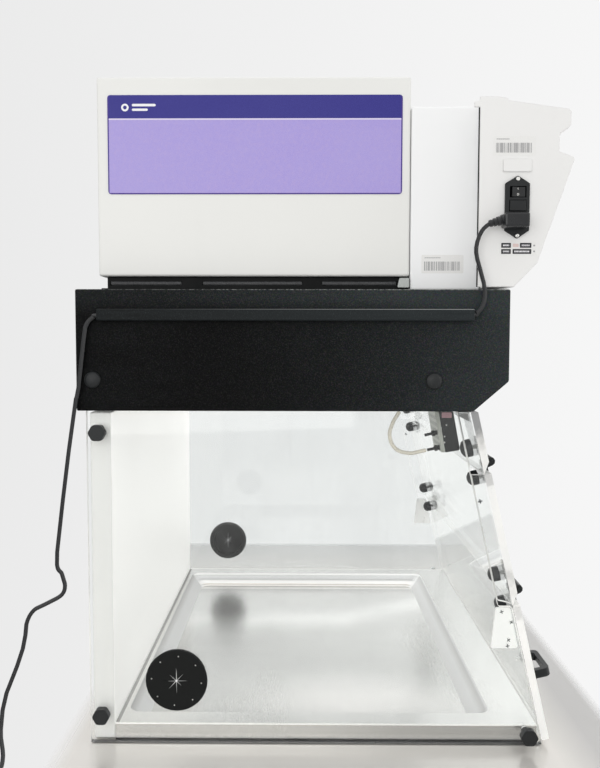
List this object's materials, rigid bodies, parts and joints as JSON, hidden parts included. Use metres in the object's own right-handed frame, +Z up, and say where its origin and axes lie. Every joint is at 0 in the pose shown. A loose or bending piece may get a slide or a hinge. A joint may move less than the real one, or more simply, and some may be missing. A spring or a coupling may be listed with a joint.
{
  "type": "ductless fume hood",
  "caption": "Benchtop recirculating fume hood: clear acrylic chamber with folding front flaps over a steel tray, black plenum casing, boxed carbon filter, fan unit and control head.",
  "frame": {"origin": "on the bench, under the middle of the tray", "axes": "+X to the operator's right, -Y towards the operator, +Z up"},
  "size_m": [0.9218, 0.8481, 0.93],
  "materials": {
    "stainless": "pressed stainless sheet, satin",
    "white_sheet": "white powder coat, smooth",
    "clear_acrylic": "polished clear acrylic",
    "black_rubber": "matt moulded rubber",
    "black_powder_coat": "textured black powder coat",
    "warm_grey_paint": "light warm grey paint, semi-gloss",
    "cool_white_paint": "cool white, satin",
    "bare_aluminium": "satin extrusion",
    "circuit_board": "laminate",
    "amber_tube": "translucent tubing",
    "foam": "closed-cell foam",
    "carbon": "granular carbon",
    "label": "printed film",
    "zinc": "zinc plated",
    "black_plastic": "satin moulded plastic"
  },
  "bodies": {
    "frame": {"back_panel": "white_sheet", "blank_plate": "warm_grey_paint", "cable_channel": "black_powder_coat", "casing_cap_front_left": "black_plastic", "casing_cap_front_right": "black_plastic", "casing_cap_rear_left": "black_plastic", "casing_cap_rear_right": "black_plastic", "casing_shell": "black_powder_coat", "catch_plate_left": "white_sheet", "catch_plate_right": "white_sheet", "fan_grille": "cool_white_paint", "fan_housing": "cool_white_paint", "fan_motor": "black_plastic", "filter_clamp": "bare_aluminium", "filter_seat": "black_powder_coat", "front_panel_upper": "clear_acrylic", "front_rail": "bare_aluminium", "grommet_left": "black_rubber", "grommet_right": "black_rubber", "head_end_left": "warm_grey_paint", "head_end_right": "warm_grey_paint", "head_shell": "warm_grey_paint", "hinge_high_left_pin": "zinc", "hinge_high_left_upper_leaf": "black_plastic", "hinge_high_right_pin": "zinc", "hinge_high_right_upper_leaf": "black_plastic", "inlet_body": "black_plastic", "nut_front_low_right": "zinc", "power_cord": "black_rubber", "seat_gasket": "foam", "sensor_board": "circuit_board", "sensor_body": "black_plastic", "sensor_tube": "amber_tube", "side_panel_left": "clear_acrylic", "side_panel_right": "clear_acrylic", "tray": "stainless"},
    "middle_flap": {"flap_middle": "clear_acrylic", "hinge_high_left_lower_leaf": "black_plastic", "hinge_high_right_lower_leaf": "black_plastic", "hinge_low_left_upper_leaf": "black_plastic", "hinge_low_right_upper_leaf": "black_plastic", "hinge_low_left_pin": "zinc", "hinge_low_right_pin": "zinc"},
    "lower_flap": {"flap_lower": "clear_acrylic", "hinge_low_left_lower_leaf": "black_plastic", "hinge_low_right_lower_leaf": "black_plastic", "handle": "black_plastic"},
    "filter": {"filter_case": "warm_grey_paint", "filter_grille": "white_sheet", "carbon_bed": "carbon", "filter_label": "label"},
    "knob_front_low_left": {"knob_front_low_left": "black_plastic"},
    "knob_rear_low_left": {"knob_rear_low_left": "black_plastic"},
    "knob_rear_low_right": {"knob_rear_low_right": "black_plastic"},
    "knob_rear_top_left": {"knob_rear_top_left": "black_plastic"},
    "knob_rear_top_right": {"knob_rear_top_right": "black_plastic"},
    "impeller": {"fan_impeller": "cool_white_paint"},
    "rocker": {"rocker_switch": "black_plastic"},
    "fuse_carrier": {"fuse_drawer": "black_plastic"}
  },
  "joints": [
    {"name": "middle_flap_hinge", "type": "hinge", "parent": "frame", "child": "middle_flap", "pos_m": [0, -0.23803, 0.39707], "axis": [-1, 0, 0], "range_deg": [0, 100]},
    {"name": "lower_flap_hinge", "type": "hinge", "parent": "middle_flap", "child": "lower_flap", "pos_m": [0, -0.28053, 0.21307], "axis": [-1, 0, 0], "range_deg": [0, 90]},
    {"name": "filter_lift", "type": "slide", "parent": "frame", "child": "filter", "axis": [0, 0, 1], "range_m": [0, 0.12]},
    {"name": "rocker_pivot", "type": "hinge", "parent": "frame", "child": "rocker", "pos_m": [-0.396, -0.2602, 0.7679], "axis": [0, 0, 1], "range_deg": [0, 14]},
    {"name": "fuse_carrier_slide", "type": "slide", "parent": "frame", "child": "fuse_carrier", "axis": [-1, 0, 0], "range_m": [0, 0.018]},
    {"name": "impeller_spin", "type": "hinge", "parent": "frame", "child": "impeller", "pos_m": [0, -0.1845, 0.765], "axis": [0, 1, 0], "continuous": true},
    {"name": "knob_front_low_left_turn", "type": "hinge", "parent": "frame", "child": "knob_front_low_left", "pos_m": [-0.405, -0.2845, 0.0212], "axis": [-1, 0, 0], "continuous": true},
    {"name": "knob_rear_low_left_turn", "type": "hinge", "parent": "frame", "child": "knob_rear_low_left", "pos_m": [-0.405, 0.3097, 0.0436], "axis": [-1, 0, 0], "continuous": true},
    {"name": "knob_rear_low_right_turn", "type": "hinge", "parent": "frame", "child": "knob_rear_low_right", "pos_m": [0.405, 0.3097, 0.0436], "axis": [1, 0, 0], "continuous": true},
    {"name": "knob_rear_top_left_turn", "type": "hinge", "parent": "frame", "child": "knob_rear_top_left", "pos_m": [-0.405, 0.3101, 0.4415], "axis": [-1, 0, 0], "continuous": true},
    {"name": "knob_rear_top_right_turn", "type": "hinge", "parent": "frame", "child": "knob_rear_top_right", "pos_m": [0.405, 0.3101, 0.4415], "axis": [1, 0, 0], "continuous": true}
  ]
}
